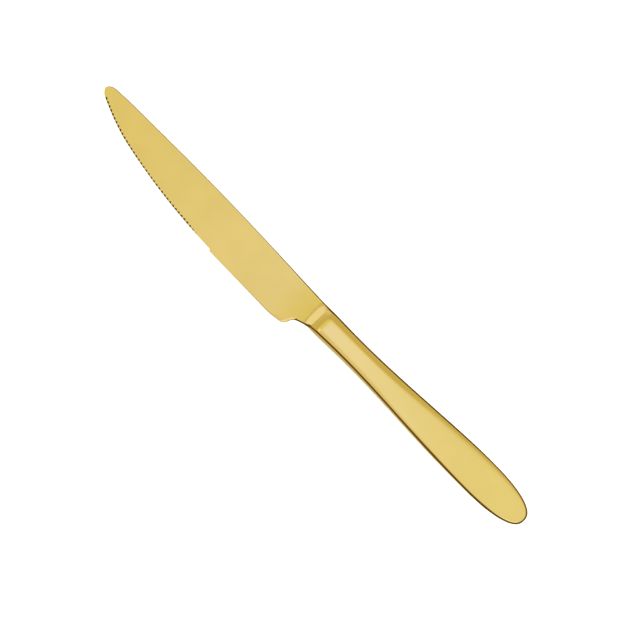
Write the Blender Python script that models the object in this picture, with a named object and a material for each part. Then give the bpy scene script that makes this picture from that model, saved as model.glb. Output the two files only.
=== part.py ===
"""Dessert knife of gold-coloured steel, lying on its side.

The blade, its bolster and the tang behind it are one forging. Two pressed half shells make the
hollow handle, and a hard cement round the notched tang holds the blade in it. All sizes are in
metres. The knife is drawn with its joint between bolster and handle at the origin: x runs back
along the handle, y towards the spine and z out of the face. It is then laid down on the flat of
the lower shell and centred over its footprint.
"""

import math

import bmesh
import bpy
import numpy as np
from mathutils import Vector
from mathutils.geometry import intersect_sphere_sphere_2d

# Handle, measured back from the joint with the bolster
HANDLE_LENGTH = 0.0972
NECK_HALF_WIDTH = 0.00476
WAIST_HALF_WIDTH = 0.00440
WAIST_AT = 0.0159
WIDEST_HALF_WIDTH = 0.00668
BUTT_LENGTH = 0.0223
BUTT_FULLNESS = 2.47
NECK_HALF_THICKNESS = 0.00288
BUTT_HALF_THICKNESS = 0.00090
NECK_CORNER_RADIUS = 0.00200
BUTT_CORNER_RADIUS = 0.00100
CORNER_TAPER_START = 0.0390
CORNER_TAPER_LENGTH = 0.0400
ARRIS_ANGLE = math.radians(40)
ARRIS_ROUND = 0.00025
STRIP_HALF_WIDTH = 0.0008
NECK_DOME_RADIUS = 0.0150
BUTT_DOME_RADIUS = 0.0610
DOME_TAPER_START = 0.0210
DOME_TAPER_LENGTH = 0.0600
CREST_LENGTH = 0.0034
CREST_ANGLE = math.radians(12.5)
SHELL_WALL = 0.0008
LEAST_INNER_CORNER = 0.0001

# Blade, measured forward from the joint with the handle
BLADE_LENGTH = 0.1110
SPINE_RISE = 0.00230
SPINE_RISE_START = 0.0025
SPINE_RISE_END = 0.0771
SPINE_DROP = 0.00050
SPINE_DROP_LENGTH = 0.0120
FLARE_DEPTH = 0.0011
FLARE_POWER = 1.6
CHOIL_START = 0.0047
CHOIL_RADIUS = 0.0038
HEEL_RADIUS = 0.0025
HEEL_SWEEP_RADIUS = 0.0290
HEEL_LOWEST_AT = 0.0148
HEEL_DEPTH = 0.0109
PLAIN_EDGE_END = 0.0431
PLAIN_EDGE_RISE = 0.00060
STEP_LENGTH = 0.0009
STEP_DEPTH = 0.00066
BELLY_RISE = 0.00930
TIP_SWEEP_LENGTH = 0.0218
TIP_SWEEP_RISE = 0.00245
TIP_HEIGHT = 0.00465
NOSE_LENGTH = 0.0020
SPINE_NOSE_LENGTH = 0.0032
SPINE_HALF_THICKNESS = 0.00095
HEEL_HALF_THICKNESS = 0.00041
TIP_HALF_THICKNESS = 0.00036
SPINE_CHAMFER = 0.00022
SPINE_CHAMFER_DROP = 0.00013
HEEL_BEVEL = 0.00080
HEEL_FADE = 0.0080
PLAIN_EDGE_ROUND = 0.00025
BEVEL_WIDTH = 0.00100
BEVEL_HALF_EDGE = 0.00020

# Bolster ramp, from the joint down to the blade's face, and the slow swell in front of it
RAMP_LENGTH = 0.0019
FILLET_LENGTH = 0.0012
RAMP_SKEW = 0.22
SHOULDER_LENGTH = 0.0150
SHOULDER_RISE = 0.00050

# Scallops of the serrated edge, cut into the upper face
SCALLOP_PITCH = 0.00158
SCALLOP_RADIUS = 0.00085
SCALLOP_TILT = math.radians(35)
SCALLOP_REACH = 0.00024
SCALLOP_LAND = 0.00060
SCALLOP_INNER_RUN = 0.0040
SCALLOP_OUTER_RUN = 0.0020
FIRST_SCALLOP_GAP = 0.0071
LAST_SCALLOP_GAP = 0.0022
SCALLOP_FADE = 4
FIRST_SCALLOP_LIFT = 0.00028

# Tang and the cement round it
TANG_LENGTH = 0.0420
TANG_WIDTH = 0.0044
TANG_HALF_THICKNESS = 0.0006
TANG_ROOT = 0.0010
NOTCH_RADIUS = 0.0008
NOTCH_FIRST = 0.0140
NOTCH_SPACING = 0.0120
CEMENT_START = 0.0006
CEMENT_PAST_TANG = 0.0200

# Gaps between pieces
SEAM_GAP = 0.00010
JOINT_GAP = 0.00010
CEMENT_GAP = 0.00015

# Finish
GOLD = (0.74, 0.52, 0.18)
BLADE_ROUGHNESS = 0.22
SHELL_ROUGHNESS = 0.18
CEMENT_GREY = (0.52, 0.50, 0.46)
CEMENT_ROUGHNESS = 0.9

# Facets
ARRIS_STEPS = 2
CORNER_STEPS = 4
CREST_STEPS = 2
SHANK_STEPS = 24
BUTT_STEPS = 18
RAMP_STEPS = 3
FILLET_STEPS = 8
CHOIL_STEPS = 16
SWEEP_STEPS = 6
PLAIN_EDGE_STEPS = 5
STEP_STEPS = 4
BELLY_STEPS = 24
NOSE_STEPS = 11
NOTCH_STEPS = 8
SCALLOP_STEPS = 7
WELD = 1e-6
SHARP_ANGLE = math.radians(30)
MOST_CORNER_SHARE = 0.4
MOST_SPINE_SHARE = 0.6
SLOPE_ROUNDS = 3
SLOPE_STEP = 0.00005

# Places that follow from the sizes
WIDEST_AT = HANDLE_LENGTH - BUTT_LENGTH
CEMENT_END = TANG_LENGTH + CEMENT_PAST_TANG
GROUND_EDGE_START = PLAIN_EDGE_END + STEP_LENGTH
SCALLOP_START = GROUND_EDGE_START + FIRST_SCALLOP_GAP
SCALLOP_END = BLADE_LENGTH - LAST_SCALLOP_GAP


def clear_scene():
    for old in list(bpy.data.objects):
        bpy.data.objects.remove(old, do_unlink=True)


def metal(name, colour, roughness, metallic):
    material = bpy.data.materials.new(name)
    material.use_nodes = True
    shader = material.node_tree.nodes["Principled BSDF"]
    shader.inputs["Base Color"].default_value = (*colour, 1.0)
    shader.inputs["Roughness"].default_value = roughness
    shader.inputs["Metallic"].default_value = metallic
    return material


def new_object(name, bm, material, parent):
    """Closes a bmesh into a named object under the parent."""
    bmesh.ops.remove_doubles(bm, verts=bm.verts, dist=WELD)
    bmesh.ops.dissolve_degenerate(bm, dist=WELD, edges=bm.edges)
    bmesh.ops.recalc_face_normals(bm, faces=bm.faces)
    mesh = bpy.data.meshes.new(name)
    bm.to_mesh(mesh)
    bm.free()
    mesh.shade_smooth()
    mesh.set_sharp_from_angle(angle=SHARP_ANGLE)
    obj = bpy.data.objects.new(name, mesh)
    obj.data.materials.append(material)
    obj.parent = parent
    bpy.context.collection.objects.link(obj)
    return obj


def loft(bm, rings, cap_first, cap_last):
    """Skins closed rings of points, one after the other, with flat caps where asked."""
    rows = [[bm.verts.new(point) for point in ring] for ring in rings]
    for row, following in zip(rows, rows[1:]):
        for i in range(len(row)):
            j = (i + 1) % len(row)
            bm.faces.new((row[i], row[j], following[j], following[i]))
    if cap_first:
        bm.faces.new(rows[0])
    if cap_last:
        bm.faces.new(rows[-1])


def cut(obj, cutter, operation):
    """Adds a Boolean and hides its tool."""
    cutter.hide_render = True
    cutter.display_type = "WIRE"
    modifier = obj.modifiers.new(cutter.name, "BOOLEAN")
    modifier.operation = operation
    modifier.solver = "EXACT"
    modifier.object = cutter


def smoothstep(t):
    t = min(max(t, 0.0), 1.0)
    return t * t * (3 - 2 * t)


def mix(first, second, share):
    return first + (second - first) * share


# Handle form

def handle_half_width(x):
    """Plan half width: in to the waist, out to the widest place, then round the butt."""
    if x < WAIST_AT:
        return WAIST_HALF_WIDTH + (NECK_HALF_WIDTH - WAIST_HALF_WIDTH) * (1 - x / WAIST_AT) ** 2
    if x > WIDEST_AT:
        along = (x - WIDEST_AT) / BUTT_LENGTH
        return WIDEST_HALF_WIDTH * (1 - along ** BUTT_FULLNESS) ** (1 / BUTT_FULLNESS)
    swell = smoothstep((x - WAIST_AT) / (WIDEST_AT - WAIST_AT))
    return WAIST_HALF_WIDTH + (WIDEST_HALF_WIDTH - WAIST_HALF_WIDTH) * swell


def handle_path(front):
    """Spine-side plan outline from the front to the butt, with its inward normals."""
    crest = np.linspace(front, CREST_LENGTH, CREST_STEPS + 1)[:-1]
    shank = np.linspace(CREST_LENGTH, WIDEST_AT, SHANK_STEPS + 1)[:-1]
    points = [(x, handle_half_width(x)) for x in (*crest, *shank)]
    for i in range(BUTT_STEPS + 1):
        angle = 0.5 * math.pi * i / BUTT_STEPS
        power = 2 / BUTT_FULLNESS
        along = abs(math.sin(angle)) ** power
        across = abs(math.cos(angle)) ** power if i < BUTT_STEPS else 0.0
        points.append((WIDEST_AT + BUTT_LENGTH * along, WIDEST_HALF_WIDTH * across))
    path = np.array(points)
    along = np.gradient(path, axis=0)
    inward = np.column_stack((along[:, 1], -along[:, 0]))
    inward /= np.linalg.norm(inward, axis=1)[:, None]
    inward[:CREST_STEPS + 1] = (0, -1)
    inward[-1] = (-1, 0)
    return path, inward


def half_thickness(x):
    """Flat taper from neck to butt, with a sloping facet that falls away to the joint."""
    flat = mix(NECK_HALF_THICKNESS, BUTT_HALF_THICKNESS, x / HANDLE_LENGTH)
    return flat - math.tan(CREST_ANGLE) * max(CREST_LENGTH - x, 0.0)


def corner_radius(x):
    taper = smoothstep((x - CORNER_TAPER_START) / CORNER_TAPER_LENGTH)
    return mix(NECK_CORNER_RADIUS, BUTT_CORNER_RADIUS, taper)


def dome(x, y):
    """Fall and slope of the slightly domed top, on both sides of its flat middle strip."""
    taper = smoothstep((x - DOME_TAPER_START) / DOME_TAPER_LENGTH)
    radius = mix(NECK_DOME_RADIUS, BUTT_DOME_RADIUS, taper)
    past = max(y - STRIP_HALF_WIDTH, 0.0)
    return past ** 2 / (2 * radius), math.atan(past / radius)


def corner_round(radius, slope):
    """Runs in and drops from the top: a tight round off the wall, then a wide one to the slope."""
    small = min(ARRIS_ROUND, radius)
    low_drop = radius * (math.cos(slope) - math.cos(ARRIS_ANGLE))
    points = []
    for angle in np.linspace(0.5 * math.pi, ARRIS_ANGLE, ARRIS_STEPS + 1)[:-1]:
        drop = low_drop + small * (math.cos(ARRIS_ANGLE) - math.cos(angle))
        points.append((small * (1 - math.sin(angle)), drop))
    inside = small * (1 - math.sin(ARRIS_ANGLE))
    for angle in np.linspace(ARRIS_ANGLE, slope, CORNER_STEPS + 1):
        run = inside + radius * (math.sin(ARRIS_ANGLE) - math.sin(angle))
        points.append((run, radius * (math.cos(slope) - math.cos(angle))))
    return points


def face_places(outer):
    """Two places on the dome between the middle strip and the corner."""
    strip = min(STRIP_HALF_WIDTH, outer)
    return [(outer + strip) / 2, strip]


def fitted_corner(radius, foot, inward):
    """Corner that ends on the dome with the dome's own slope, its end and the dome's fall there."""
    slope = 0.0
    for _ in range(SLOPE_ROUNDS):
        corner = corner_round(radius, slope)
        end = foot + corner[-1][0] * inward
        fall, slope = dome(end[0], end[1])
        slope *= abs(inward[1])
    return corner, end, fall


def handle_arch(place, inward, inset, floor):
    """One crossing of the upper skin at this depth, not below the floor: wall, corner and top."""
    radius = max(corner_radius(place[0]) - inset, LEAST_INNER_CORNER)
    foot = place + inset * inward
    corner, end, fall = fitted_corner(radius, foot, inward)
    top = half_thickness(end[0]) - inset
    side = [(foot[0], foot[1], floor)]
    for run, drop in corner:
        x, y = foot + run * inward
        side.append((x, max(y, 0.0), max(top - fall - drop, floor)))
    for y in face_places(max(end[1], 0.0)):
        side.append((end[0], y, max(top - dome(end[0], y)[0], floor)))
    return side + [(x, -y, z) for x, y, z in reversed(side)]


def make_shell(name, facing, material, parent):
    """Half of the handle: an outer and an inner skin joined at the seam and the mouth."""
    bm = bmesh.new()
    rings = []
    for place, inward in zip(*handle_path(JOINT_GAP)):
        outer = handle_arch(place, inward, 0.0, SEAM_GAP / 2)
        inner = handle_arch(place, inward, SHELL_WALL, SEAM_GAP / 2)
        rings.append([(x, y, facing * z) for x, y, z in outer + inner[::-1]])
    loft(bm, rings, True, False)
    return new_object(name, bm, material, parent)


def make_cement(material, parent):
    """Fills the hollow round the tang, with a slot of the tang's own shape."""
    depth = SHELL_WALL + CEMENT_GAP
    path, _ = handle_path(CEMENT_START)
    stations = [p for p in path if p[0] < CEMENT_END] + [(CEMENT_END, handle_half_width(CEMENT_END))]
    rings = []
    for place in stations:
        upper = handle_arch(np.array(place), np.array((0.0, -1.0)), depth, 0.0)[1:-1]
        rings.append(upper + [(x, y, -z) for x, y, z in reversed(upper)])
    bm = bmesh.new()
    loft(bm, rings, True, True)
    cement = new_object("tang_cement", bm, material, parent)
    slot = make_tang("tang_slot", CEMENT_GAP, material, parent)
    cut(cement, slot, "DIFFERENCE")
    return cement


# Blade form, with u measured forward from the joint

def spine_line(u):
    """Back of the blade: up from the joint to its full height, then a little down to the tip."""
    climb = (u - SPINE_RISE_START) / (SPINE_RISE_END - SPINE_RISE_START)
    rise = math.sin(0.5 * math.pi * max(0.0, min(climb, 1.0)))
    drop = max(u - BLADE_LENGTH + SPINE_DROP_LENGTH, 0.0) / SPINE_DROP_LENGTH
    return NECK_HALF_WIDTH + SPINE_RISE * rise - SPINE_DROP * drop ** 2


def heel_arcs():
    """Centres of the choil, the heel's corner and the heel's sweep, which touch in that order."""
    start = Vector((CHOIL_START, -NECK_HALF_WIDTH - FLARE_DEPTH))
    flare = math.atan(FLARE_POWER * FLARE_DEPTH / CHOIL_START)
    choil = start - CHOIL_RADIUS * Vector((math.sin(flare), math.cos(flare)))
    sweep = Vector((HEEL_LOWEST_AT, HEEL_SWEEP_RADIUS - HEEL_DEPTH))
    corners = intersect_sphere_sphere_2d(
        choil, CHOIL_RADIUS + HEEL_RADIUS, sweep, HEEL_SWEEP_RADIUS - HEEL_RADIUS
    )
    return choil, max(corners, key=lambda corner: corner.x), sweep


def edge_line(u):
    """Cutting side: flare, choil, heel, sweep, plain edge, step, long belly and upturned tip."""
    choil, heel, sweep = heel_arcs()
    into_heel = choil + (heel - choil) * CHOIL_RADIUS / (CHOIL_RADIUS + HEEL_RADIUS)
    into_sweep = heel + (heel - sweep).normalized() * HEEL_RADIUS
    if u <= CHOIL_START:
        return -NECK_HALF_WIDTH - FLARE_DEPTH * (max(u, 0.0) / CHOIL_START) ** FLARE_POWER
    if u <= into_heel.x:
        return choil.y + math.sqrt(CHOIL_RADIUS ** 2 - (u - choil.x) ** 2)
    if u <= into_sweep.x:
        return heel.y - math.sqrt(HEEL_RADIUS ** 2 - (u - heel.x) ** 2)
    if u <= HEEL_LOWEST_AT:
        return sweep.y - math.sqrt(HEEL_SWEEP_RADIUS ** 2 - (u - sweep.x) ** 2)
    slope = PLAIN_EDGE_RISE / (PLAIN_EDGE_END - HEEL_LOWEST_AT)
    plain = slope * (u - HEEL_LOWEST_AT) - HEEL_DEPTH
    step = STEP_DEPTH * smoothstep((u - PLAIN_EDGE_END) / STEP_LENGTH)
    belly = max(u - PLAIN_EDGE_END, 0.0) / (BLADE_LENGTH - PLAIN_EDGE_END)
    upturn = max(u - BLADE_LENGTH + TIP_SWEEP_LENGTH, 0.0) / TIP_SWEEP_LENGTH
    return plain + step + BELLY_RISE * belly ** 2 + TIP_SWEEP_RISE * upturn ** 2


def nose(u, length):
    """Share of the outline's height left at this place in the rounded tip."""
    e = (u - BLADE_LENGTH + length) / length
    return math.sqrt(max(1 - max(e, 0.0) ** 2, 0.0))


def blade_outline(u):
    low = mix(TIP_HEIGHT, edge_line(u), nose(u, NOSE_LENGTH))
    high = mix(TIP_HEIGHT, spine_line(u), nose(u, SPINE_NOSE_LENGTH))
    return low, high


def ramp(u, y):
    """1 at the joint, down the ramp, then a hollow fillet out to 0, sooner on the cutting side."""
    u = u / (1 + RAMP_SKEW * max(-1.0, min(y / NECK_HALF_WIDTH, 1.0)))
    slope = 1 / (RAMP_LENGTH + FILLET_LENGTH / 2)
    if u <= RAMP_LENGTH:
        return 1 - slope * u
    left = max(RAMP_LENGTH + FILLET_LENGTH - u, 0.0)
    return slope * left ** 2 / (2 * FILLET_LENGTH)


def blade_height(u, y):
    """Half thickness: a flat plane, a slow swell and the domed ramp of the bolster."""
    towards_tip = u / BLADE_LENGTH
    towards_edge = (NECK_HALF_WIDTH - y) / (NECK_HALF_WIDTH + HEEL_DEPTH)
    flat = SPINE_HALF_THICKNESS
    flat += (TIP_HALF_THICKNESS - SPINE_HALF_THICKNESS) * towards_tip
    flat += (HEEL_HALF_THICKNESS - SPINE_HALF_THICKNESS) * towards_edge
    flat += SHOULDER_RISE * max(1 - u / SHOULDER_LENGTH, 0.0) ** 2
    return mix(flat, half_thickness(0.0) - dome(0.0, abs(y))[0], ramp(u, y))


def edge_corner(u, height):
    """Runs and shares of depth on the cutting side: bevel at the heel, round, bevel where ground."""
    _, heel, _ = heel_arcs()
    plain = smoothstep((u - heel.x) / HEEL_FADE)
    ground = smoothstep((u - PLAIN_EDGE_END) / STEP_LENGTH)
    straight = max(1 - plain, ground)
    slant = (edge_line(u + SLOPE_STEP) - edge_line(u - SLOPE_STEP)) / (2 * SLOPE_STEP)
    heel_run = HEEL_BEVEL * math.hypot(1, slant)
    whole = mix(mix(heel_run, PLAIN_EDGE_ROUND, plain), BEVEL_WIDTH, ground)
    depth = min(whole, MOST_CORNER_SHARE * height)
    points = []
    for share in np.linspace(0, 1, ARRIS_STEPS + CORNER_STEPS + 1):
        turn = 0.5 * math.pi * share
        run = depth * mix(1 - math.cos(turn), share, straight)
        points.append((run, depth / whole * mix(1 - math.sin(turn), 1 - share, straight)))
    return points


def neck_corner():
    """Corner of the handle's section at the joint, and where it ends."""
    foot, inward = np.array((0.0, NECK_HALF_WIDTH)), np.array((0.0, -1.0))
    corner, end, _ = fitted_corner(NECK_CORNER_RADIUS, foot, inward)
    return corner, end[1]


def blade_side(u, corner, edge, inwards):
    """Corner of one side of the blade, which grows into the neck's corner on the bolster."""
    lift = ramp(u, edge) ** 2
    neck, _ = neck_corner()
    runs = [mix(run, neck_run, lift) for (run, _), (neck_run, _) in zip(corner, neck)]
    top = blade_height(u, edge + inwards * runs[-1])
    if inwards > 0:
        deep = max(top - BEVEL_HALF_EDGE, 0.0)
    else:
        deep = min(SPINE_CHAMFER_DROP, MOST_SPINE_SHARE * top)
    drops = [mix(deep * share, drop, lift) for (_, share), (_, drop) in zip(corner, neck)]
    return [(-u, edge + inwards * run, top - drop) for run, drop in zip(runs, drops)]


def blade_ring(u):
    """Closed crossing of the blade: cutting side, upper face, spine, lower face."""
    low, high = blade_outline(u)
    upper = blade_side(u, edge_corner(u, high - low), low, 1)
    width = min(SPINE_CHAMFER, MOST_CORNER_SHARE * (high - low))
    shares = np.linspace(0, 1, ARRIS_STEPS + CORNER_STEPS + 1)
    spine = blade_side(u, [(width * share, 1 - share) for share in shares], high, -1)
    start, end = upper[-1][1], spine[-1][1]
    _, outer = neck_corner()
    places = face_places(outer)
    for place in [-y for y in places] + places[::-1]:
        y = mix(start, end, (outer + place) / (2 * outer))
        upper.append((-u, y, blade_height(u, y)))
    upper += spine[::-1]
    return upper + [(x, y, -z) for x, y, z in reversed(upper)]


def blade_stations():
    """Places of the crossings, close together where the form turns."""
    _, heel, _ = heel_arcs()
    nose_start = BLADE_LENGTH - SPINE_NOSE_LENGTH
    stretches = [
        (RAMP_LENGTH * (1 - RAMP_SKEW), RAMP_STEPS),
        ((RAMP_LENGTH + FILLET_LENGTH) * (1 + RAMP_SKEW), FILLET_STEPS),
        (heel.x, CHOIL_STEPS),
        (HEEL_LOWEST_AT, SWEEP_STEPS),
        (PLAIN_EDGE_END, PLAIN_EDGE_STEPS),
        (GROUND_EDGE_START, STEP_STEPS),
        (nose_start, BELLY_STEPS),
    ]
    stations, start = [], 0.0
    for end, steps in stretches:
        stations += list(np.linspace(start, end, steps + 1)[:-1])
        start = end
    for i in range(NOSE_STEPS):
        stations.append(nose_start + SPINE_NOSE_LENGTH * math.sin(0.5 * math.pi * i / NOSE_STEPS))
    return stations


def make_scallops(material, parent):
    """Row of round-bottomed plugs along the ground edge, each tilted down and out."""
    bm = bmesh.new()
    half = (SCALLOP_PITCH - SCALLOP_LAND) / 2
    spread = math.asin(min(half / SCALLOP_RADIUS, 1.0))
    u, index = SCALLOP_START, 0
    while u < SCALLOP_END:
        along = np.array(blade_outline(u + SCALLOP_PITCH / 2)) - blade_outline(u - SCALLOP_PITCH / 2)
        tangent = np.array((-SCALLOP_PITCH, along[0], 0.0))
        tangent /= np.linalg.norm(tangent)
        outward = np.array((tangent[1], -tangent[0], 0.0))
        outward *= -np.sign(outward[1])
        fade = min((index + 1) / SCALLOP_FADE, 1.0)
        bottom = FIRST_SCALLOP_LIFT * (1 - fade) - SCALLOP_REACH
        centre = np.array((-u, blade_outline(u)[0], bottom + SCALLOP_RADIUS))
        slant = outward * math.cos(SCALLOP_TILT) - np.array((0, 0, math.sin(SCALLOP_TILT)))
        up = outward * math.sin(SCALLOP_TILT) + np.array((0, 0, math.cos(SCALLOP_TILT)))
        profile = []
        for i in range(SCALLOP_STEPS + 1):
            angle = spread * (2 * i / SCALLOP_STEPS - 1)
            profile.append(SCALLOP_RADIUS * (math.sin(angle) * tangent - math.cos(angle) * up))
        profile += [half * tangent + SCALLOP_RADIUS * up, -half * tangent + SCALLOP_RADIUS * up]
        runs = (-SCALLOP_INNER_RUN, SCALLOP_OUTER_RUN)
        rings = [[centre + run * slant + p for p in profile] for run in runs]
        loft(bm, rings, True, True)
        u += SCALLOP_PITCH * -tangent[0]
        index += 1
    return new_object("scallop_row", bm, material, parent)


def make_tang(name, grow, material, parent):
    """Flat bar behind the bolster with round notches in both sides, for the cement to key in."""
    half = TANG_WIDTH / 2 + grow
    bite = NOTCH_RADIUS - grow
    side = [(-TANG_ROOT if grow == 0 else -grow, half)]
    places = np.arange(NOTCH_FIRST, TANG_LENGTH - TANG_WIDTH / 2 - NOTCH_RADIUS, NOTCH_SPACING)
    for place in places:
        for i in range(NOTCH_STEPS + 1):
            angle = math.pi * i / NOTCH_STEPS
            side.append((place - bite * math.cos(angle), half - bite * math.sin(angle)))
    end = TANG_LENGTH + grow
    side += [(end - half / 2, half), (end, half / 2)]
    outline = side + [(x, -y) for x, y in reversed(side)]
    reach = TANG_HALF_THICKNESS + grow
    bm = bmesh.new()
    loft(bm, [[(x, y, z) for x, y in outline] for z in (-reach, reach)], True, True)
    return new_object(name, bm, material, parent)


def make_blade(material, parent):
    bm = bmesh.new()
    loft(bm, [blade_ring(u) for u in blade_stations()], True, True)
    blade = new_object("blade", bm, material, parent)
    cut(blade, make_tang("tang", 0.0, material, parent), "UNION")
    cut(blade, make_scallops(material, parent), "DIFFERENCE")
    return blade


def lay_down(root, pieces):
    """Turns the knife so that the lower shell's land is level, then centres it on the floor."""
    taper = (NECK_HALF_THICKNESS - BUTT_HALF_THICKNESS) / HANDLE_LENGTH
    root.rotation_euler = (0.0, math.atan(taper), 0.0)
    bpy.context.view_layer.update()
    corners = [root.matrix_world @ v.co for piece in pieces for v in piece.data.vertices]
    low = [min(c[i] for c in corners) for i in range(3)]
    high = [max(c[i] for c in corners) for i in range(3)]
    root.location = (-(low[0] + high[0]) / 2, -(low[1] + high[1]) / 2, -low[2])


def build():
    clear_scene()
    root = bpy.data.objects.new("knife_root", None)
    bpy.context.collection.objects.link(root)
    steel = metal("gold_blade", GOLD, BLADE_ROUGHNESS, 1.0)
    upper_steel = metal("gold_upper_shell", GOLD, SHELL_ROUGHNESS, 1.0)
    lower_steel = metal("gold_lower_shell", GOLD, SHELL_ROUGHNESS, 1.0)
    filling = metal("grey_cement", CEMENT_GREY, CEMENT_ROUGHNESS, 0.0)
    pieces = [
        make_blade(steel, root),
        make_shell("handle_upper_shell", 1, upper_steel, root),
        make_shell("handle_lower_shell", -1, lower_steel, root),
        make_cement(filling, root),
    ]
    lay_down(root, pieces)


build()
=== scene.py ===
import math

import bmesh
import bpy
import numpy as np
from mathutils import Matrix, Vector


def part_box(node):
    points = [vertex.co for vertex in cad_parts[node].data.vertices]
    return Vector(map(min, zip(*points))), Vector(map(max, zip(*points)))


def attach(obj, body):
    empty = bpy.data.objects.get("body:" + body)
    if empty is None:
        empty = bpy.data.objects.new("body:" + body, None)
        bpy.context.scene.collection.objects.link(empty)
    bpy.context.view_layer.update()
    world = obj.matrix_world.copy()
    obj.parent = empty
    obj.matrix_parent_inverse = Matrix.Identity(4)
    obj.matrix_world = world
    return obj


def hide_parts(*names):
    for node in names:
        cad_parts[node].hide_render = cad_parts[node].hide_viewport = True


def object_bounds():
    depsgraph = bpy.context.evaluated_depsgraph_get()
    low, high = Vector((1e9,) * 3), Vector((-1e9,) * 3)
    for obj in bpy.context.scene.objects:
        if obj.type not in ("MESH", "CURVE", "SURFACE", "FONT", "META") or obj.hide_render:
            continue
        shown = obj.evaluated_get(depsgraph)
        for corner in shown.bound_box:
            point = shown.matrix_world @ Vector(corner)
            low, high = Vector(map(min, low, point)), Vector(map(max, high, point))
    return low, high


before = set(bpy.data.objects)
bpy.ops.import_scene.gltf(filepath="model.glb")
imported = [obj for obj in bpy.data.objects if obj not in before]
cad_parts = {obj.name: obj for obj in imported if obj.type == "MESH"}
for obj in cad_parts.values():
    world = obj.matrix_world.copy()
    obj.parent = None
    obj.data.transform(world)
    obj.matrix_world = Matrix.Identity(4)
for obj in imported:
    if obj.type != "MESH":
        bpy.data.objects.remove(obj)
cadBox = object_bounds()
print("frame loaded:", ", ".join(sorted(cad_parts)))


# Small numpy helpers, all on whole arrays

def smooth(t):  # 0 before 0, 1 after 1, an S-curve between
    t = np.clip(t, 0.0, 1.0)
    return t * t * (3 - 2 * t)


def mix(a, b, share):
    return a + (b - a) * share


def stretches(start, *legs):  # places along a line, each leg an (end, steps) pair
    places = []
    for end, steps in legs:
        places.append(np.linspace(start, end, steps, endpoint=False))
        start = end
    return np.concatenate(places + [np.array([start])])


def ringFaces(rows, cols):  # quads between neighbouring closed rings of points
    index = np.arange(rows * cols).reshape(rows, cols)
    after = np.roll(index, -1, axis=1)
    quads = np.stack([index[:-1], after[:-1], after[1:], index[1:]], axis=-1)
    return quads.reshape(-1, 4)


def zipFaces(ring, half):  # closes a ring whose second half runs back beside the first
    there = ring[:half]
    back = ring[half:][::-1]
    return np.stack([there[:-1], there[1:], back[1:], back[:-1]], axis=-1)


# Sizes of the knife as drawn: joint at the origin, x back along the handle, y to the spine

knife = {
    "handleLength": 0.0972,
    "neckHalfThick": 0.00288,   # where the taper would meet the joint
    "buttHalfThick": 0.00090,
    "neckHalfWidth": 0.00476,
    "neckCorner": 0.00200,      # round along both sides of the handle
    "buttCorner": 0.0010,
    "cornerFrom": 0.039, "cornerOver": 0.040,
    "stripHalf": 0.0008,        # flat middle of the slightly domed top
    "neckDome": 0.0150,
    "buttDome": 0.0610,
    "domeFrom": 0.021, "domeOver": 0.060,
    "neckArris": math.radians(40),  # the wide round ends here, then a tight one turns into the wall
    "buttArris": math.radians(62),
    "arrisRound": 0.00025, "arrisSteps": 4,
    "leastCorner": 0.0001,      # on the inside of the wall
    "cornerRounds": 3,          # tries that settle where the corner meets the dome
    "crestLength": 0.0029,      # sloping facet just behind the joint
    "crestAngle": math.radians(12.5),
    "crestSoft": 0.0009,
    "jointGap": 0.00002,
}

pitch = math.atan((knife["neckHalfThick"] - knife["buttHalfThick"]) / knife["handleLength"])


def halfThick(x):
    # straight taper to the butt, less a softened hinge that drops towards the joint
    flat = mix(knife["neckHalfThick"], knife["buttHalfThick"], x / knife["handleLength"])
    short = knife["crestLength"] - x
    hinge = (short + np.sqrt(short ** 2 + knife["crestSoft"] ** 2)) / 2
    return flat - math.tan(knife["crestAngle"]) * hinge


def alongCorner(x, neck, butt):  # a value that changes from neck to butt as the corners do
    return mix(knife[neck], knife[butt], smooth((x - knife["cornerFrom"]) / knife["cornerOver"]))


def dome(x, y):  # fall and slope of the domed top at y from the middle
    share = smooth((x - knife["domeFrom"]) / knife["domeOver"])
    radius = mix(knife["neckDome"], knife["buttDome"], share)
    past = np.maximum(np.abs(y) - knife["stripHalf"], 0.0)
    return past ** 2 / (2 * radius), np.arctan(past / radius)


def cornerRound(x, inset, start, steps):
    # from wall to top: tight round up to the arris, wide round on to the start angle of the dome
    radius = alongCorner(x, "neckCorner", "buttCorner") - inset
    radius = np.maximum(radius, knife["leastCorner"])[..., None]
    arris = np.asarray(alongCorner(x, "neckArris", "buttArris"))[..., None]
    tight = mix(math.pi / 2, arris, np.linspace(0, 1, knife["arrisSteps"] + 1)[:-1])
    wide = mix(arris, np.asarray(start)[..., None], np.linspace(0, 1, steps - knife["arrisSteps"] + 1))
    small = np.minimum(knife["arrisRound"], radius)
    inTight = small * (1 - np.sin(tight))
    inWide = small * (1 - np.sin(arris)) + radius * (np.sin(arris) - np.sin(wide))
    dropWide = radius * (np.cos(wide[..., -1:]) - np.cos(wide))
    dropTight = dropWide[..., :1] + small * (np.cos(arris) - np.cos(tight))
    return np.concatenate([inTight, inWide], axis=-1), np.concatenate([dropTight, dropWide], axis=-1)


def layDown(points):  # turns the drawn knife so that its lower land is level
    x, y, z = np.moveaxis(points, -1, 0)
    turned = (x * math.cos(pitch) + z * math.sin(pitch), y, z * math.cos(pitch) - x * math.sin(pitch))
    return np.stack(turned, axis=-1)


meshing = {"weld": 2e-6, "sharpFrom": math.radians(32)}


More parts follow.
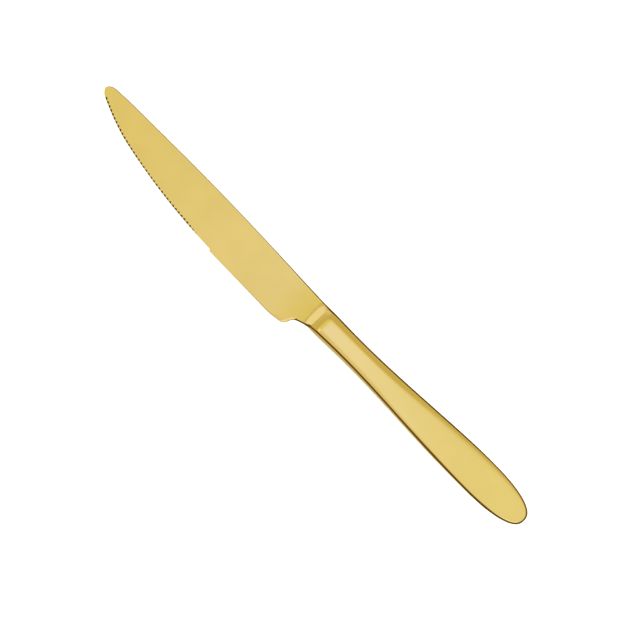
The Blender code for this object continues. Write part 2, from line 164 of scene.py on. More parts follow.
def newPiece(name, points, faces, nodes, scallopShade=None):
    mesh = bpy.data.meshes.new(name)
    mesh.from_pydata(points.reshape(-1, 3), [], faces.tolist())
    if scallopShade is not None:
        # painted shade for the scallops goes into the mesh as the ground attribute
        mesh.attributes.new("ground", "FLOAT", "POINT").data.foreach_set("value", scallopShade.ravel())
    bm = bmesh.new()
    bm.from_mesh(mesh)
    bmesh.ops.remove_doubles(bm, verts=bm.verts, dist=meshing["weld"])
    bmesh.ops.dissolve_degenerate(bm, dist=meshing["weld"], edges=bm.edges)
    bmesh.ops.recalc_face_normals(bm, faces=bm.faces)
    bm.to_mesh(mesh)
    bm.free()
    mesh.shade_smooth()
    mesh.set_sharp_from_angle(angle=meshing["sharpFrom"])
    piece = bpy.data.objects.new(name, mesh)
    bpy.context.collection.objects.link(piece)
    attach(piece, "root")
    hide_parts(*nodes)
    print(f"{name}: {len(mesh.polygons)} faces")
    return piece


# Handle: the half profile is carried along the outline of the handle seen from above

handle = {
    "waistHalfWidth": 0.00440,
    "waistAt": 0.0159,
    "widestHalfWidth": 0.00668,
    "buttLength": 0.0223,
    "buttFullness": 2.47,       # power of the rounded end, 2 is an ellipse
    "wall": 0.0008,
    "ledge": 0.00006,           # below the corner, so that the wall shades flat
    "bow": 0.00020, "bowFrom": 0.044, "bowOver": 0.030,   # the rear half leans to the spine side
    "seamGap": 0.00002,
    "crestReach": 1.3,          # the fine rows run on past the crest
    "crestSteps": 26,
    "shankSteps": 150,
    "buttSteps": 64,
    "cornerSteps": 16,
    "landSteps": 16,
}


def handleOutline():
    # half width: falls to the waist as a parabola, swells as an S-curve, ends as a superellipse
    h, length = handle, knife["handleLength"]
    widestAt = length - h["buttLength"]
    crestEnd = h["crestReach"] * knife["crestLength"]
    x = stretches(knife["jointGap"], (crestEnd, h["crestSteps"]), (widestAt, h["shankSteps"]))
    toWaist = (knife["neckHalfWidth"] - h["waistHalfWidth"]) * np.clip(1 - x / h["waistAt"], 0, None) ** 2
    swell = smooth((x - h["waistAt"]) / (widestAt - h["waistAt"]))
    y = toWaist + mix(h["waistHalfWidth"], h["widestHalfWidth"], swell)
    angle = np.linspace(0, math.pi / 2, h["buttSteps"] + 1)[1:]
    power = 2 / h["buttFullness"]
    endX = widestAt + h["buttLength"] * np.sin(angle) ** power
    endY = h["widestHalfWidth"] * np.clip(np.cos(angle), 0, None) ** power
    endY[-1] = 0.0
    place = np.stack([np.append(x, endX), np.append(y, endY)], axis=-1)
    along = np.gradient(place, axis=0)
    inward = np.stack([along[:, 1], -along[:, 0]], axis=-1)
    inward /= np.linalg.norm(inward, axis=1, keepdims=True)
    inward[0], inward[-1] = (0, -1), (-1, 0)
    return place, inward


def handleSkin(inset):
    # each crossing: foot at the seam, wall, corner, domed top, corner, wall, foot
    h = handle
    place, inward = handleOutline()
    foot = place + inset * inward
    start = np.zeros(len(foot))
    for _ in range(knife["cornerRounds"]):  # the corner ends where it meets the slope of the dome
        run, drop = cornerRound(place[:, 0], inset, start, h["cornerSteps"])
        end = foot + run[:, -1:] * inward
        fall, start = dome(end[:, 0], np.maximum(end[:, 1], 0))
        start = start * np.abs(inward[:, 1])
    x = foot[:, :1] + run * inward[:, :1]
    y = np.maximum(foot[:, 1:] + run * inward[:, 1:], 0.0)
    top = halfThick(x[:, -1]) - fall - inset
    floor = h["seamGap"] / 2
    side = np.stack([x, y, np.maximum(top[:, None] - drop, floor)], axis=-1)
    seam = np.stack([foot[:, 0], foot[:, 1], np.full(len(foot), floor)], axis=-1)
    ledge = seam.copy()
    ledge[:, 2] = np.maximum(side[:, 0, 2] - h["ledge"], floor)
    side = np.concatenate([seam[:, None], ledge[:, None], side], axis=1)
    share = np.linspace(1, -1, h["landSteps"] + 1)[1:-1]
    land = np.repeat(side[:, -1:], len(share), axis=1)
    land[..., 1] *= share
    land[..., 2] = np.maximum(halfThick(x[:, -1:]) - dome(x[:, -1:], land[..., 1])[0] - inset, floor)
    skin = np.concatenate([side, land, side[:, ::-1] * (1, -1, 1)], axis=1)
    skin[..., 1] += h["bow"] * smooth((skin[..., 0] - h["bowFrom"]) / h["bowOver"])
    return skin


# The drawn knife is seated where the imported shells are
skinBox = layDown(handleSkin(0.0)).reshape(-1, 3)
shellLow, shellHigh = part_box("handle_upper_shell")
baseZ = layDown(handleSkin(0.0) * (1, 1, -1))[..., 2].min()
seatAt = np.array([
    shellHigh.x - skinBox[:, 0].max(),
    (shellLow.y + shellHigh.y) / 2,
    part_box("handle_lower_shell")[0].z - baseZ,
])


def seat(points):
    return points + seatAt


def makeShell(name, facing):
    outer, inner = handleSkin(0.0), handleSkin(handle["wall"])
    rings = np.concatenate([outer, inner[:, ::-1]], axis=1) * (1, 1, facing)
    rows, cols = rings.shape[:2]
    faces = np.concatenate([ringFaces(rows, cols), zipFaces(np.arange(cols), cols // 2)])
    return newPiece(name, seat(layDown(rings)), faces, [name])


# Blade: one closed ring for each place along it, with u measured forward from the joint

blade = {
    "length": 0.1105,
    "spineRise": 0.0023, "spineRiseStart": 0.0025, "spineRiseEnd": 0.0771,
    "spineDrop": 0.0005, "spineDropLength": 0.0120,
    "flareDepth": 0.0011, "flarePower": 1.6,
    "choilStart": 0.0047, "choilRadius": 0.0038,
    "heelRadius": 0.0025, "heelSweepRadius": 0.0290,
    "heelLowestAt": 0.0148, "heelDepth": 0.0109,
    "plainEdgeEnd": 0.0431, "plainEdgeRise": 0.0006,
    "stepLength": 0.0009, "stepDepth": 0.00066,
    "bellyRise": 0.0093, "tipSweepLength": 0.0218, "tipSweepRise": 0.00222,
    "tipHeight": 0.00465, "noseLength": 0.0020, "spineNoseLength": 0.0032,
    "spineHalfThick": 0.00095, "heelHalfThick": 0.00041, "tipHalfThick": 0.00036,
    "chamferWidth": 0.00022, "chamferDrop": 0.00013,
    "chamferGrowth": 0.9, "chamferReach": 0.040,         # wider towards the bolster
    "heelBevel": 0.0010, "bevelGrowth": 0.0016, "bevelFlat": 0.8,
    "mostStretch": 1.7,                                  # of the heel bevel where the edge slants
    "bevelDrop": 0.00034, "heelFade": 0.0080, "plainEdgeRound": 0.00025,
    "bevelWidth": 0.0010, "bevelHalfEdge": 0.00028, "heelHalfEdge": 0.00020,
    "rampLength": 0.0015, "filletLength": 0.0022,
    "rampSkew": 0.12,                                    # shorter on the cutting side
    "shoulderLength": 0.0150, "shoulderRise": 0.00060,   # slow swell towards the bolster
    "mostCorner": 0.4, "mostSpine": 0.6,   # limits of the rounds as shares of height and thickness
    "grindReach": 0.0014, "reachPast": 1.1, "mostReach": 0.55,   # fine rows behind the edge
    "leastReach": 1e-9,                    # at the very tip, where the rows meet
    "edgeSteps": 18, "grindSteps": 8, "faceSteps": 14,
    "rampSteps": 10, "filletSteps": 24, "choilSteps": 50, "heelSteps": 24, "plainSteps": 40,
    "stepSteps": 14, "gapSteps": 12, "noseSteps": 24,
}

scallops = {
    "pitch": 0.00156, "radius": 0.0010, "tilt": math.radians(25),
    "land": 0.00060, "tipLand": 0.0003, "tipReach": 0.018,   # the lands narrow towards the tip
    "cut": 0.85, "tipCut": 0.15, "cutReach": 0.022,   # share of the edge's lower half that is cut
    "firstGap": 0.0071, "lastGap": 0.0022,
    "fade": 4, "firstLift": 0.00028,       # the first ones are shallower
    "leastEdge": 0.00002,
    "shadeFullDepth": 0.00006,                   # depth at which the painted shade in the scallops is full
    "stepsEach": 12, "lineSteps": 4000,
    "outside": -9.0, "noCut": 1.0,         # a count off the row, and a floor above any blade
}

tang = {
    "length": 0.0420, "width": 0.0044, "halfThick": 0.0006,
    "notchRadius": 0.0008, "notchFirst": 0.0140, "notchSpacing": 0.0120,
    "steps": 170,
}


def heelArcs():
    # centres of three touching arcs: hollow choil, round heel corner, long heel sweep
    b, neck = blade, knife["neckHalfWidth"]
    flare = math.atan(b["flarePower"] * b["flareDepth"] / b["choilStart"])
    start = np.array([b["choilStart"], -neck - b["flareDepth"]])
    choil = start - b["choilRadius"] * np.array([math.sin(flare), math.cos(flare)])
    sweep = np.array([b["heelLowestAt"], b["heelSweepRadius"] - b["heelDepth"]])
    near, far = b["choilRadius"] + b["heelRadius"], b["heelSweepRadius"] - b["heelRadius"]
    apart = np.linalg.norm(sweep - choil)
    toSweep = (sweep - choil) / apart
    run = (apart ** 2 + near ** 2 - far ** 2) / (2 * apart)
    off = math.sqrt(near ** 2 - run ** 2)
    heel = choil + run * toSweep + off * np.array([toSweep[1], -toSweep[0]])
    return choil, heel, sweep


def edgeLine(u):
    # flare, choil, heel corner, heel sweep, then plain edge + step + belly parabola + tip parabola
    b = blade
    choil, heel, sweep = heelArcs()
    intoHeel = (choil + (heel - choil) * b["choilRadius"] / (b["choilRadius"] + b["heelRadius"]))[0]
    intoSweep = (heel + (heel - sweep) / np.linalg.norm(heel - sweep) * b["heelRadius"])[0]

    def arc(centre, radius, side):
        return centre[1] + side * np.sqrt(np.clip(radius ** 2 - (u - centre[0]) ** 2, 0, None))

    forward = np.clip(u, 0, None) / b["choilStart"]
    flare = -knife["neckHalfWidth"] - b["flareDepth"] * forward ** b["flarePower"]
    slope = b["plainEdgeRise"] / (b["plainEdgeEnd"] - b["heelLowestAt"])
    plain = slope * (u - b["heelLowestAt"]) - b["heelDepth"]
    step = b["stepDepth"] * smooth((u - b["plainEdgeEnd"]) / b["stepLength"])
    belly = np.clip(u - b["plainEdgeEnd"], 0, None) / (b["length"] - b["plainEdgeEnd"])
    upturn = np.clip(u - b["length"] + b["tipSweepLength"], 0, None) / b["tipSweepLength"]
    ground = plain + step + b["bellyRise"] * belly ** 2 + b["tipSweepRise"] * upturn ** 2
    return np.select(
        [u <= b["choilStart"], u <= intoHeel, u <= intoSweep, u <= b["heelLowestAt"]],
        [flare, arc(choil, b["choilRadius"], 1), arc(heel, b["heelRadius"], -1),
         arc(sweep, b["heelSweepRadius"], -1)],
        ground,
    )


def bladeOutline(u):
    # edge and spine lines, drawn together to one height over a quarter ellipse at the nose
    b = blade
    share = (u - b["spineRiseStart"]) / (b["spineRiseEnd"] - b["spineRiseStart"])
    rise = np.sin(math.pi / 2 * np.clip(share, 0, 1))
    drop = np.clip(u - b["length"] + b["spineDropLength"], 0, None) / b["spineDropLength"]
    spine = knife["neckHalfWidth"] + b["spineRise"] * rise - b["spineDrop"] * drop ** 2

    def nose(length):
        return np.sqrt(1 - np.clip((u - b["length"] + length) / length, 0, 1) ** 2)

    low = mix(b["tipHeight"], edgeLine(u), nose(b["noseLength"]))
    return low, mix(b["tipHeight"], spine, nose(b["spineNoseLength"]))


def ramp(u, y):  # 1 at the joint, straight down, then a hollow parabola out onto the blade
    b = blade
    u = u / (1 + b["rampSkew"] * np.clip(y / knife["neckHalfWidth"], -1, 1))
    slope = 1 / (b["rampLength"] + b["filletLength"] / 2)
    left = np.clip(b["rampLength"] + b["filletLength"] - u, 0, None)
    return np.where(u <= b["rampLength"], 1 - slope * u, slope * left ** 2 / (2 * b["filletLength"]))


def faceHeight(u, y):  # half thickness: a flat plane, with the bolster's domed ramp rising from it
    b, neck = blade, knife["neckHalfWidth"]
    flat = b["spineHalfThick"] + (b["tipHalfThick"] - b["spineHalfThick"]) * u / b["length"]
    flat = flat + (b["heelHalfThick"] - b["spineHalfThick"]) * (neck - y) / (neck + b["heelDepth"])
    shoulder = b["shoulderRise"] * np.clip(1 - u / b["shoulderLength"], 0, None) ** 2
    return mix(flat + shoulder, halfThick(0.0) - dome(0.0, y)[0], ramp(u, y))


def scallopCut(u, depth, edgeHalf):
    # height of the cut floor: a row of round channels that drop towards the edge at the tilt
    s, b = scallops, blade
    first = b["plainEdgeEnd"] + b["stepLength"] + s["firstGap"]
    last = b["length"] - s["lastGap"]
    line = np.linspace(first, last, s["lineSteps"])
    run = np.append(0, np.cumsum(np.hypot(np.diff(line), np.diff(bladeOutline(line)[0]))))
    count = np.interp(u, line, run / s["pitch"], left=s["outside"], right=s["outside"])
    nearest = np.round(count)
    aside = (count - nearest) * s["pitch"]
    half = (s["pitch"] - mix(s["tipLand"], s["land"], smooth((b["length"] - u) / s["tipReach"]))) / 2
    bend = 1 - np.sqrt(1 - np.clip(aside / s["radius"], -1, 1) ** 2)
    lift = s["firstLift"] * (1 - np.clip((nearest + 1) / s["fade"], 0, 1))
    share = mix(s["tipCut"], s["cut"], smooth((b["length"] - u) / s["cutReach"]))
    floor = lift - share * edgeHalf + s["radius"] * bend / math.cos(s["tilt"])
    floor = np.where((np.abs(aside) <= half) & (count > -0.5), floor, s["noCut"])
    return floor[:, None] + depth * math.tan(s["tilt"])


def bladePlaces():
    b, s = blade, scallops
    _, heel, _ = heelArcs()
    first = b["plainEdgeEnd"] + b["stepLength"] + s["firstGap"] - s["pitch"]
    nose = b["length"] - b["noseLength"]
    teeth = int((nose - first) / s["pitch"] * s["stepsEach"])
    angle = np.linspace(0, math.pi / 2, b["noseSteps"] + 1)[1:]
    body = stretches(
        0.0,
        (b["rampLength"] * (1 - b["rampSkew"]), b["rampSteps"]),
        ((b["rampLength"] + b["filletLength"]) * (1 + b["rampSkew"]), b["filletSteps"]),
        (heel[0], b["choilSteps"]),
        (b["heelLowestAt"], b["heelSteps"]),
        (b["plainEdgeEnd"], b["plainSteps"]),
        (b["plainEdgeEnd"] + b["stepLength"], b["stepSteps"]),
        (first, b["gapSteps"]),
        (nose, teeth),
    )
    return np.append(body, nose + b["noseLength"] * np.sin(angle))


def neckCorner(steps):  # the handle's corner where it meets the bolster
    start = np.array(0.0)
    for _ in range(knife["cornerRounds"]):
        run, drop = cornerRound(0.0, 0.0, start, steps)
        _, start = dome(0.0, knife["neckHalfWidth"] - run[-1])
    return run, drop


def edgeProfile(u, low, height):
    # run in from the edge, drop below the face, and the face's height where they end: straight
    # bevels at the heel and on the ground part, an elliptic round between, the neck's corner
    b = blade
    _, heel, _ = heelArcs()
    plain = smooth((u - heel[0]) / b["heelFade"])[:, None]
    ground = smooth((u - b["plainEdgeEnd"]) / b["stepLength"])[:, None]
    neckRun, neckDrop = neckCorner(b["edgeSteps"])
    share = np.linspace(0, 1, b["edgeSteps"] + 1)
    turn = share * math.pi / 2
    heelRun = b["heelBevel"] * np.minimum(np.hypot(1, np.gradient(low, u)), b["mostStretch"])[:, None]
    bevelled = smooth((u - b["choilStart"]) / b["bevelGrowth"])[:, None] * (1 - plain)
    straight = np.maximum(b["bevelFlat"] * bevelled, ground)
    whole = mix(mix(b["plainEdgeRound"], heelRun, bevelled), b["bevelWidth"], ground)
    depth = np.minimum(whole, b["mostCorner"] * height)
    lift = ramp(u, low)[:, None] ** 2
    run = mix(depth * mix(1 - np.cos(turn), share, straight), neckRun, lift)
    top = faceHeight(u[:, None], low[:, None] + run[:, -1:])
    deep = np.maximum(top - mix(b["heelHalfEdge"], b["bevelHalfEdge"], ground), 0) * depth / whole
    deep = mix(deep, np.minimum(deep, b["bevelDrop"]), bevelled)
    drop = mix(deep * mix(1 - np.sin(turn), 1 - share, straight), neckDrop, lift)
    return run, drop, top


def spineProfile(u, high, height):  # the same for the spine: a narrow chamfer, the neck's corner
    b = blade
    neckRun, neckDrop = neckCorner(b["edgeSteps"])
    share = np.linspace(0, 1, b["edgeSteps"] + 1)
    grown = 1 + b["chamferGrowth"] * smooth(1 - u / b["chamferReach"])[:, None]
    wide = np.minimum(b["chamferWidth"] * grown, b["mostCorner"] * height)
    lift = ramp(u, high)[:, None] ** 2
    run = mix(wide * share, neckRun, lift)
    top = faceHeight(u[:, None], high[:, None] - run[:, -1:])
    fall = np.minimum(b["chamferDrop"] * grown, b["mostSpine"] * top)
    drop = mix(fall * (1 - share), neckDrop, lift)
    return run, drop, top


def bladeSides():
    # upper and lower side over one set of rows, and how deep each upper point lies in a scallop, which sets
    # the painted shade there
    b = blade
    u = bladePlaces()
    low, high = bladeOutline(u)
    height = (high - low)[:, None]
    run, drop, edgeTop = edgeProfile(u, low, height)
    backRun, backDrop, backTop = spineProfile(u, high, height)

    # rows: the edge, even rows behind it, wider rows over the face, the spine
    reach = np.clip(run[:, -1:] * b["reachPast"], b["grindReach"], None)
    reach = np.maximum(np.minimum(reach, b["mostReach"] * height), b["leastReach"])
    behind = mix(run[:, -1:], reach, np.linspace(0, 1, b["grindSteps"] + 1)[1:])
    across = mix(reach, height - backRun[:, -1:], np.linspace(0, 1, b["faceSteps"] + 1)[1:])
    down = np.concatenate([run, behind, across], axis=1)

    y = low[:, None] + down
    half = faceHeight(u[:, None], y)
    half[:, :run.shape[1]] = np.minimum(edgeTop - drop, half[:, :run.shape[1]])
    cut = scallopCut(u, down, half[:, 0])
    upper = np.maximum(np.minimum(half, cut), -half + scallops["leastEdge"])

    y = np.concatenate([y, high[:, None] - backRun[:, ::-1][:, 1:]], axis=1)
    x = np.repeat(-u[:, None], y.shape[1], axis=1)
    backZ = backTop - backDrop[:, ::-1][:, 1:]
    top = np.stack([x, y, np.concatenate([upper, backZ], axis=1)], axis=-1)
    under = np.stack([x, y, -np.concatenate([half, backZ], axis=1)], axis=-1)
    return top, under, np.clip((half - upper) / scallops["shadeFullDepth"], 0, 1)


def tangSides(across):
    # flat bar with half-round notches in both sides and a chamfered end
    t = tang
    half = t["width"] / 2
    x = np.append(0.0, np.linspace(0.0, t["length"], t["steps"]))
    centres = np.arange(t["notchFirst"], t["length"] - half - t["notchRadius"], t["notchSpacing"])
    away = np.abs(x[:, None] - centres).min(axis=1)
    bite = np.sqrt(np.clip(t["notchRadius"] ** 2 - away ** 2, 0, None))
    width = half - bite - np.clip(x - t["length"] + half / 2, 0, None)
    y = width[:, None] * np.linspace(-1, 1, across)
    x = np.repeat(x[:, None], across, axis=1)
    top = np.stack([x, y, np.full(y.shape, t["halfThick"])], axis=-1)
    return top, top * (1, 1, -1)


def makeBlade():
    top, under, cut = bladeSides()
    tangTop, tangUnder = tangSides(top.shape[1])
    top = np.concatenate([tangTop[::-1], top])
    under = np.concatenate([tangUnder[::-1], under])
    rings = np.concatenate([top, under[:, ::-1]], axis=1)
    rows, cols = rings.shape[:2]
    ends = np.arange(rows * cols).reshape(rows, cols)[[0, -1]]
    caps = [zipFaces(ring, cols // 2) for ring in ends]
    faces = np.concatenate([ringFaces(rows, cols), *caps])
    # painted shade: the scallops get darker with depth
    scallopShade = np.zeros((rows, cols))
    scallopShade[-len(cut):, :cut.shape[1]] = cut
    return newPiece("knife_blade", seat(layDown(rings)), faces, ["blade"], scallopShade)


knifeBlade = makeBlade()
upperShell = makeShell("handle_upper_shell", 1)
lowerShell = makeShell("handle_lower_shell", -1)
print("pieces made")


# Shader sockets as Python values: + - * and / on a Sock add Math nodes

class Sock:
    def __init__(self, graph, socket):
        self.graph, self.socket = graph, socket

    def math(self, operation, a, b):
        return self.graph.node("ShaderNodeMath", {"operation": operation}, {0: a, 1: b})[0]

    def __add__(self, other):
        return self.math("ADD", self, other)

    def __sub__(self, other):
        return self.math("SUBTRACT", self, other)

    def __rsub__(self, other):
        return self.math("SUBTRACT", other, self)

    def __mul__(self, other):
        return self.math("MULTIPLY", self, other)

    def __truediv__(self, other):
        return self.math("DIVIDE", self, other)

    __radd__ = __add__
    __rmul__ = __mul__


class Graph:
    def __init__(self, tree):
        self.tree = tree

    def node(self, kind, settings, inputs):
        made = self.tree.nodes.new(kind)
        for name, value in settings.items():
            setattr(made, name, value)
        for key, value in inputs.items():
            if isinstance(value, Sock):
                self.tree.links.new(value.socket, made.inputs[key])
            else:
                made.inputs[key].default_value = value
        return [Sock(self, out) for out in made.outputs]

    def between(self, value, low, high):  # S-curve from 0 at low to 1 at high
        settings = {"interpolation_type": "SMOOTHSTEP"}
        return self.node("ShaderNodeMapRange", settings, {0: value, 1: low, 2: high})[0]

    def blend(self, share, a, b):  # colours a to b
        settings = {"data_type": "RGBA"}
        return self.node("ShaderNodeMix", settings, {0: share, 6: a, 7: b})[2]

    def dot(self, vector, axis):
        return self.node("ShaderNodeVectorMath", {"operation": "DOT_PRODUCT"}, {0: vector, 1: axis})[1]

    def bump(self, height, strength, distance):
        inputs = {"Strength": strength, "Distance": distance, "Height": height}
        return self.node("ShaderNodeBump", {}, inputs)[0]

    def noise(self, where, scale, detail, stretch=(1, 1, 1)):
        moved = self.node("ShaderNodeMapping", {}, {0: where, 3: stretch})[0]
        return self.node("ShaderNodeTexNoise", {}, {"Vector": moved, "Scale": scale, "Detail": detail})[0]


def newMaterial(name):
    material = bpy.data.materials.new(name)
    material.use_nodes = True
    graph = Graph(material.node_tree)
    shader = material.node_tree.nodes["Principled BSDF"]
    where = graph.node("ShaderNodeTexCoord", {}, {})[3]
    return material, graph, shader, where


# Gold finishes: satin on the blade, polished on the handle, both with fine lengthwise lines; the satin one
# has painted shade in the scallops

satin = {
    "light": (0.757, 0.526, 0.160, 1), "deep": (0.725, 0.497, 0.147, 1),
    "ground": (0.17, 0.105, 0.028, 1),     # painted shade: a dark brown that stands in for the shade inside the scallops
    "roughness": 0.18, "roughSpread": 0.05, "lineScale": 9000, "cloudScale": 70, "bump": 0.010,
}
polish = {
    "light": (0.768, 0.542, 0.161, 1), "deep": (0.742, 0.518, 0.149, 1),
    "roughness": 0.09, "roughSpread": 0.04, "lineScale": 7000, "cloudScale": 60, "bump": 0.004,
}
gold = {
    "cloudDetail": 4, "cloudRough": 0.04, "tintFrom": 0.30, "tintTo": 0.70,
    "lineDetail": 3, "lineStretch": (0.012, 1, 1), "lineHeight": 0.0001,
}


def goldMetal(name, finish):
    # cloud noise shifts the coating's tint, stretched noise gives the finishing lines
    material, graph, shader, where = newMaterial(name)
    cloud = graph.noise(where, finish["cloudScale"], gold["cloudDetail"])
    lines = graph.noise(where, finish["lineScale"], gold["lineDetail"], gold["lineStretch"])
    tint = graph.between(cloud, gold["tintFrom"], gold["tintTo"])
    colour = graph.blend(tint, finish["deep"], finish["light"])
    if "ground" in finish:  # painted shade: the scallops, as the mesh's ground attribute gives them, take the dark colour
        shadeMark = graph.node("ShaderNodeAttribute", {"attribute_name": "ground"}, {})[2]
        colour = graph.blend(shadeMark, colour, finish["ground"])
    rough = finish["roughness"] + (lines - 0.5) * finish["roughSpread"] + (cloud - 0.5) * gold["cloudRough"]
    relief = graph.bump(lines, finish["bump"], gold["lineHeight"])
    links = material.node_tree.links
    links.new(colour.socket, shader.inputs["Base Color"])
    links.new(rough.socket, shader.inputs["Roughness"])
    links.new(relief.socket, shader.inputs["Normal"])
    shader.inputs["Metallic"].default_value = 1.0
    return material


cement = {
    "pale": (0.56, 0.54, 0.50, 1), "dark": (0.40, 0.38, 0.34, 1), "roughness": 0.9,
    "grainScale": 2500, "grainDetail": 6, "grainHeight": 0.0002, "bump": 0.3,
}


def cementFill(name):
    # sandy grain in two greys
    material, graph, shader, where = newMaterial(name)
    grain = graph.noise(where, cement["grainScale"], cement["grainDetail"])
    colour = graph.blend(grain, cement["dark"], cement["pale"])
    relief = graph.bump(grain, cement["bump"], cement["grainHeight"])
    links = material.node_tree.links
    links.new(colour.socket, shader.inputs["Base Color"])
    links.new(relief.socket, shader.inputs["Normal"])
    shader.inputs["Roughness"].default_value = cement["roughness"]
    return material


def dress(piece, material):
    piece.data.materials.clear()
    piece.data.materials.append(material)


dress(knifeBlade, goldMetal("gold_satin", satin))
polished = goldMetal("gold_polished", polish)
dress(upperShell, polished)
dress(lowerShell, polished)
for piece in (knifeBlade, upperShell, lowerShell):
    piece.visible_shadow = False   # the photograph's floor shows no shadow or tint
    piece.visible_diffuse = False
dress(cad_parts["tang_cement"], cementFill("cement_fill"))
print("finishes made")


# Studio: pale floor, a dome with soft patches of light, and a wash for the floor alone

# Each pair is a soft border of a patch, as angles off the vertical towards tip, butt, edge or spine;
# the pairs of lit and under, and those named Up, are parts of the unit direction instead

studio = {
    "floorSize": 12.0, "floorColour": (0.93, 0.915, 0.86, 1), "floorRoughness": 0.9, "floorDrop": 0.0002,
    "boxTip": (-19, -12), "boxButt": (58, 50), "boxEdge": (-37.5, -32.5), "boxSpine": (23.8, 18.5),
    "boxColour": (1.04, 1.14, 1.16, 1), "boxUp": (0.05, 0.15),
    "softColour": (0.94, 0.94, 0.99, 1), "softFrom": (-6.5, -3),
    "coreTip": (-11, -9), "coreButt": (-3.7, -9.3), "coreEdge": (-5, 0), "coreSpine": (22.5, 10),
    "coreColour": (1.13, 1.28, 2.3, 1),
    "rimTip": (-24, -20), "rimButt": (-11, -13), "rimEdge": (-26, -20), "rimSpine": (-2, -6),
    "rimColour": (1.25, 1.36, 1.60, 1),
    "glowTip": (-30, -22), "glowButt": (-8, -13), "glowEdge": (-14, -4), "glowSpine": (21, 14),
    "glowColour": (0.95, 1.01, 0.58, 1),
    "panelButt": (-28.5, -40), "panelEdge": (-22, -12), "panelSpine": (45, 39), "panelUp": (0.15, 0.30),
    "panelColour": (1.17, 1.30, 1.60, 1),
    "frontAside": 26, "frontAhead": -30, "frontWide": 25, "frontCore": 20,
    "frontColour": (1.30, 1.42, 1.80, 1),
    "dim": (0.77, 0.735, 0.45, 1), "dimTip": (0.74, 0.71, 0.41, 1),
    "litEdge": (-0.67, -0.56), "litUp": (0.50, 0.60),
    "dark": (0.16, 0.105, 0.012, 1), "below": (0.71, 0.66, 0.345, 1),
    "underUp": (-0.15, -0.35), "underEdge": (-0.275, -0.245), "underSpine": (0.1, -0.2),
    "underTip": (-0.29, -0.24), "underButt": (-0.11, -0.16),
    "seen": (1.0, 1.0, 1.0, 1),
    "washPower": 30.0, "washSize": 2.4, "washHeight": 1.6,
}


def makeFloor():
    size = studio["floorSize"] / 2
    mesh = bpy.data.meshes.new("floor")
    corners = [(-size, -size, 0), (size, -size, 0), (size, size, 0), (-size, size, 0)]
    mesh.from_pydata(corners, [], [(0, 1, 2, 3)])
    floor = bpy.data.objects.new("floor", mesh)
    floor.location.z = -studio["floorDrop"]
    bpy.context.collection.objects.link(floor)
    material, _, shader, _ = newMaterial("pale_floor")
    shader.inputs["Base Color"].default_value = studio["floorColour"]
    shader.inputs["Roughness"].default_value = studio["floorRoughness"]
    shader.inputs["Specular IOR Level"].default_value = 0.0
    dress(floor, material)
    floor.visible_glossy = False  # the polished sides mirror the dome's lower half instead


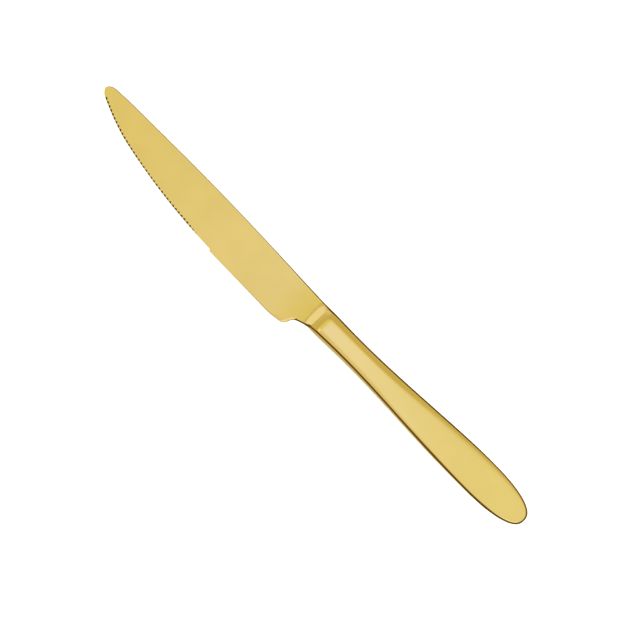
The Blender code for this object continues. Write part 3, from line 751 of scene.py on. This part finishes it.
def makeDome():
    # colour by direction: dark low down and on the edge side, with a paler patch below for the walls
    # of the handle, and dim above; over that a glow and a panel towards the tip, an overhead softbox
    # with a hot core, a rim beside it and a round lamp in front. The camera itself sees white.
    world = bpy.data.worlds.new("studio_dome")
    bpy.context.scene.world = world
    world.use_nodes = True
    world.node_tree.nodes.clear()
    graph = Graph(world.node_tree)
    towards = graph.node("ShaderNodeTexCoord", {}, {})[0]
    east, north, up = (graph.dot(towards, axis) for axis in ((1, 0, 0), (0, 1, 0), (0, 0, 1)))
    across, along = north / up, east / up

    def border(value, low, high):  # rises from low to high, or falls where low is the greater
        if low < high:
            return graph.between(value, low, high)
        return 1 - graph.between(value, high, low)

    def share(value, name):
        return border(value, *studio[name])

    def angle(value, name):
        return border(value, *(math.tan(math.radians(a)) for a in studio[name]))

    def patch(name):
        sides = angle(along, name + "Tip") * angle(along, name + "Butt")
        return sides * angle(across, name + "Edge") * angle(across, name + "Spine")

    under = share(up, "underUp") * share(north, "underEdge") * share(north, "underSpine")
    under = under * share(east, "underTip") * share(east, "underButt")
    low = graph.blend(under, studio["dark"], studio["below"])
    dim = graph.blend(angle(along, "glowTip"), studio["dimTip"], studio["dim"])
    dim = graph.blend(patch("glow"), dim, studio["glowColour"])
    lit = share(north, "litEdge") * share(up, "litUp")
    colour = graph.blend(lit, low, dim)
    panel = angle(along, "panelButt") * angle(across, "panelEdge") * angle(across, "panelSpine")
    colour = graph.blend(panel * share(up, "panelUp"), colour, studio["panelColour"])
    inside = graph.blend(angle(across, "softFrom"), studio["softColour"], studio["boxColour"])
    inside = graph.blend(patch("core"), inside, studio["coreColour"])
    colour = graph.blend(patch("box") * share(up, "boxUp"), colour, inside)
    colour = graph.blend(patch("rim") * share(up, "boxUp"), colour, studio["rimColour"])
    aside, ahead = (math.tan(math.radians(studio[name])) for name in ("frontAside", "frontAhead"))
    wide, core = (math.cos(math.radians(studio[name])) for name in ("frontWide", "frontCore"))
    facing = graph.dot(towards, Vector((aside, ahead, 1)).normalized())
    colour = graph.blend(graph.between(facing, wide, core), colour, studio["frontColour"])
    seen = graph.node("ShaderNodeLightPath", {}, {})[0]
    colour = graph.blend(seen, colour, studio["seen"])
    sky = graph.node("ShaderNodeBackground", {}, {"Color": colour})[0]
    graph.node("ShaderNodeOutputWorld", {}, {"Surface": sky})


def makeWash():
    light = bpy.data.lights.new("floor_wash", "AREA")
    light.energy = studio["washPower"]
    light.size = studio["washSize"]
    wash = bpy.data.objects.new("floor_wash", light)
    wash.location.z = studio["washHeight"]
    wash.visible_glossy = False
    bpy.context.collection.objects.link(wash)


makeFloor()
makeDome()
makeWash()
print("studio made")


# Camera: long lens, well above the knife, the blade running to the upper left

camera = {
    "azimuth": 45.0, "elevation": 73.0, "roll": 0.85, "distance": 1.2,
    "lens": 199.6, "aimRight": 0.00622, "aimDown": 0.00378,
    "clipStart": 0.01, "clipEnd": 50,
}


def makeCamera():
    azimuth, elevation, roll = (math.radians(camera[k]) for k in ("azimuth", "elevation", "roll"))
    level = math.cos(elevation)
    back = Vector((math.sin(azimuth) * level, -math.cos(azimuth) * level, math.sin(elevation)))
    right = Vector((math.cos(azimuth), math.sin(azimuth), 0))
    up = back.cross(right)
    tipped = math.cos(roll) * right + math.sin(roll) * up
    up = math.cos(roll) * up - math.sin(roll) * right
    right = tipped
    aim = (cadBox[0] + cadBox[1]) / 2 + right * camera["aimRight"] - up * camera["aimDown"]
    data = bpy.data.cameras.new("camera")
    data.lens = camera["lens"]
    data.clip_start, data.clip_end = camera["clipStart"], camera["clipEnd"]
    made = bpy.data.objects.new("camera", data)
    turn = Matrix((right, up, back)).transposed().to_4x4()
    made.matrix_world = Matrix.Translation(aim + back * camera["distance"]) @ turn
    bpy.context.collection.objects.link(made)
    bpy.context.scene.camera = made


makeCamera()
bpy.context.scene.view_settings.view_transform = "Standard"
print("camera made")
